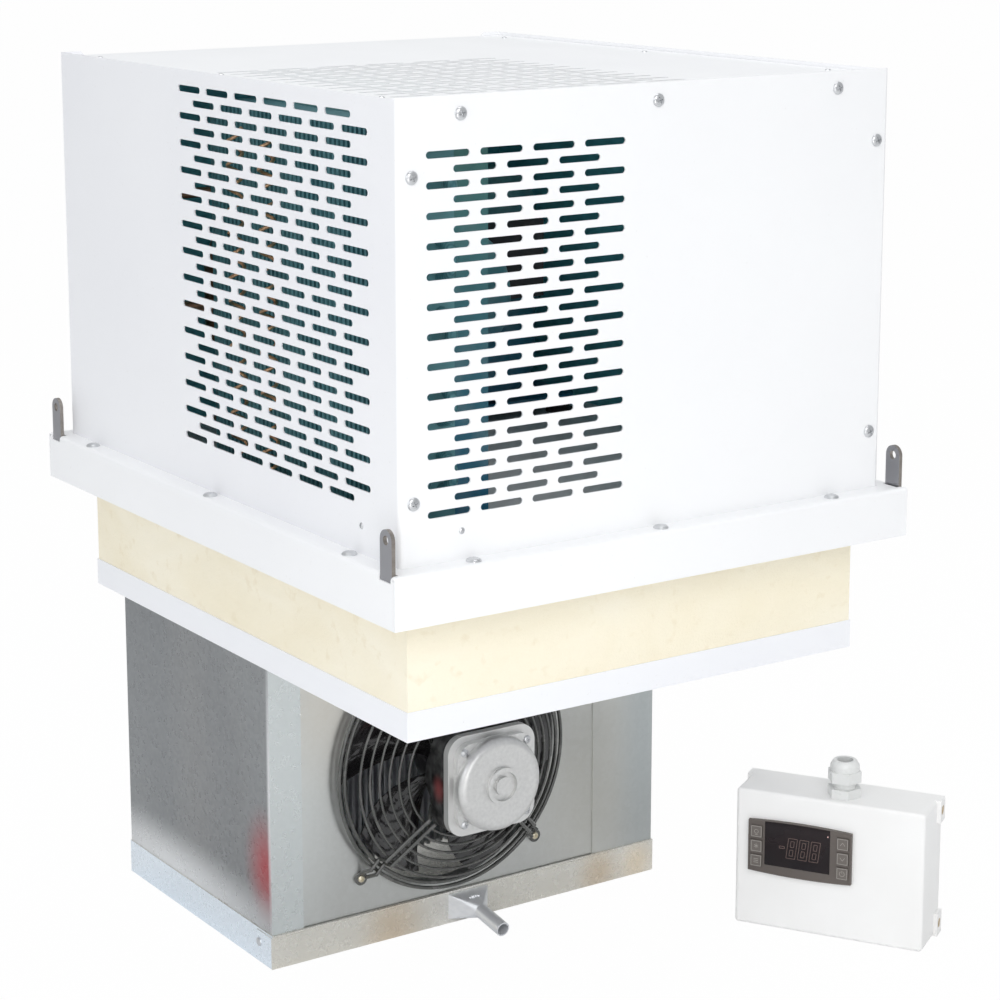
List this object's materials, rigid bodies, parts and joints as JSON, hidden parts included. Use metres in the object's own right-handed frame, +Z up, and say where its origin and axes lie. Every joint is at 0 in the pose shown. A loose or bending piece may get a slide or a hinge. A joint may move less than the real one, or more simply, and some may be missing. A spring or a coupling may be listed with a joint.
{
  "type": "monoblock refrigeration unit",
  "caption": "Roof-mounted monoblock refrigeration unit: slotted white casing, insulated plug, evaporator box with guarded fan, drain pan and a separate control box.",
  "frame": {"origin": "middle of the outline of the unit and its control box seen from above, at the level of the drain pan's underside that the set stands on", "axes": "+X to the unit's right, +Y to its rear, +Z up; the slotted front panel, the evaporator fan and the drain spout face -Y"},
  "size_m": [0.5316, 0.5504, 0.7018],
  "materials": {
    "painted_sheet": "semi-gloss white powder coat",
    "foam": "cream rigid polyurethane foam",
    "zinc_screws": "zinc-plated steel",
    "lug_steel": "galvanised steel strap",
    "galvanised": "bright galvanised sheet",
    "aluminium_fins": "bare aluminium fins",
    "coated_fins": "blue-black coated fins",
    "copper": "dull copper tube",
    "spout_metal": "welded aluminium",
    "guard_wire": "glossy black coated wire",
    "motor_alloy": "satin die-cast aluminium",
    "fan_plastic": "glossy black blades",
    "black_enamel": "black enamel",
    "rubber": "black rubber",
    "black_plastic": "black plastic",
    "brass_screws": "yellow passivated steel",
    "bezel_plastic": "grey-brown plastic",
    "window": "dark smoked window",
    "button_plastic": "soft-touch grey-brown plastic",
    "gland_plastic": "light grey polyamide",
    "gland_rubber": "grey rubber insert"
  },
  "bodies": {
    "unit": {"roof_flange": "painted_sheet", "plug_tray": "painted_sheet", "front_panel": "painted_sheet", "left_panel": "painted_sheet", "right_panel": "painted_sheet", "rear_panel": "painted_sheet", "top_panel": "painted_sheet", "box_shell": "painted_sheet", "box_base": "painted_sheet", "plug_foam": "foam", "panel_screws": "zinc_screws", "flange_bolts": "zinc_screws", "pan_rivets": "zinc_screws", "guard_screws": "zinc_screws", "motor_screws": "zinc_screws", "lifting_lugs": "lug_steel", "evap_side_left": "galvanised", "evap_side_right": "galvanised", "fan_panel": "galvanised", "drain_pan": "galvanised", "motor_bracket": "galvanised", "electrical_box": "galvanised", "evap_fins": "aluminium_fins", "condenser_fins": "coated_fins", "evap_tubes": "copper", "condenser_tubes": "copper", "discharge_pipe": "copper", "liquid_pipe": "copper", "expansion_pipe": "copper", "suction_pipe": "copper", "filter_drier": "copper", "drain_spout": "spout_metal", "guard_rings": "guard_wire", "guard_arms": "guard_wire", "fan_motor": "motor_alloy", "fan_motor_cover": "motor_alloy", "compressor": "black_enamel", "fan_shroud": "black_enamel", "condenser_motor": "black_enamel", "compressor_mounts": "rubber", "compressor_cover": "black_plastic", "rear_gland": "black_plastic", "controller_body": "black_plastic", "box_screws": "brass_screws", "controller_bezel": "bezel_plastic", "display_window": "window", "gland_body": "gland_plastic", "gland_nut": "gland_plastic", "gland_seal": "gland_rubber"},
    "evap_fan": {"evap_fan": "fan_plastic"},
    "condenser_fan": {"condenser_fan": "fan_plastic"},
    "button_up": {"button_up": "button_plastic"},
    "button_down": {"button_down": "button_plastic"},
    "button_power": {"button_power": "button_plastic"},
    "button_set": {"button_set": "button_plastic"},
    "button_defrost": {"button_defrost": "button_plastic"},
    "button_light": {"button_light": "button_plastic"}
  },
  "joints": [
    {"name": "evap_fan_spin", "type": "hinge", "parent": "unit", "child": "evap_fan", "pos_m": [-0.05633, -0.01694, 0.1415], "axis": [0, -1, 0], "continuous": true},
    {"name": "condenser_fan_spin", "type": "hinge", "parent": "unit", "child": "condenser_fan", "pos_m": [-0.15283, -0.08304, 0.5358], "axis": [1, 0, 0], "continuous": true},
    {"name": "button_up_press", "type": "slide", "parent": "unit", "child": "button_up", "axis": [0.848, 0.5299, 0], "range_m": [0, 0.0008], "stiffness_N_per_m": 500, "springref_m": -0.0005},
    {"name": "button_down_press", "type": "slide", "parent": "unit", "child": "button_down", "axis": [0.848, 0.5299, 0], "range_m": [0, 0.0008], "stiffness_N_per_m": 500, "springref_m": -0.0005},
    {"name": "button_power_press", "type": "slide", "parent": "unit", "child": "button_power", "axis": [0.848, 0.5299, 0], "range_m": [0, 0.0008], "stiffness_N_per_m": 500, "springref_m": -0.0005},
    {"name": "button_set_press", "type": "slide", "parent": "unit", "child": "button_set", "axis": [0.848, 0.5299, 0], "range_m": [0, 0.0008], "stiffness_N_per_m": 500, "springref_m": -0.0005},
    {"name": "button_defrost_press", "type": "slide", "parent": "unit", "child": "button_defrost", "axis": [0.848, 0.5299, 0], "range_m": [0, 0.0008], "stiffness_N_per_m": 500, "springref_m": -0.0005},
    {"name": "button_light_press", "type": "slide", "parent": "unit", "child": "button_light", "axis": [0.848, 0.5299, 0], "range_m": [0, 0.0008], "stiffness_N_per_m": 500, "springref_m": -0.0005}
  ]
}
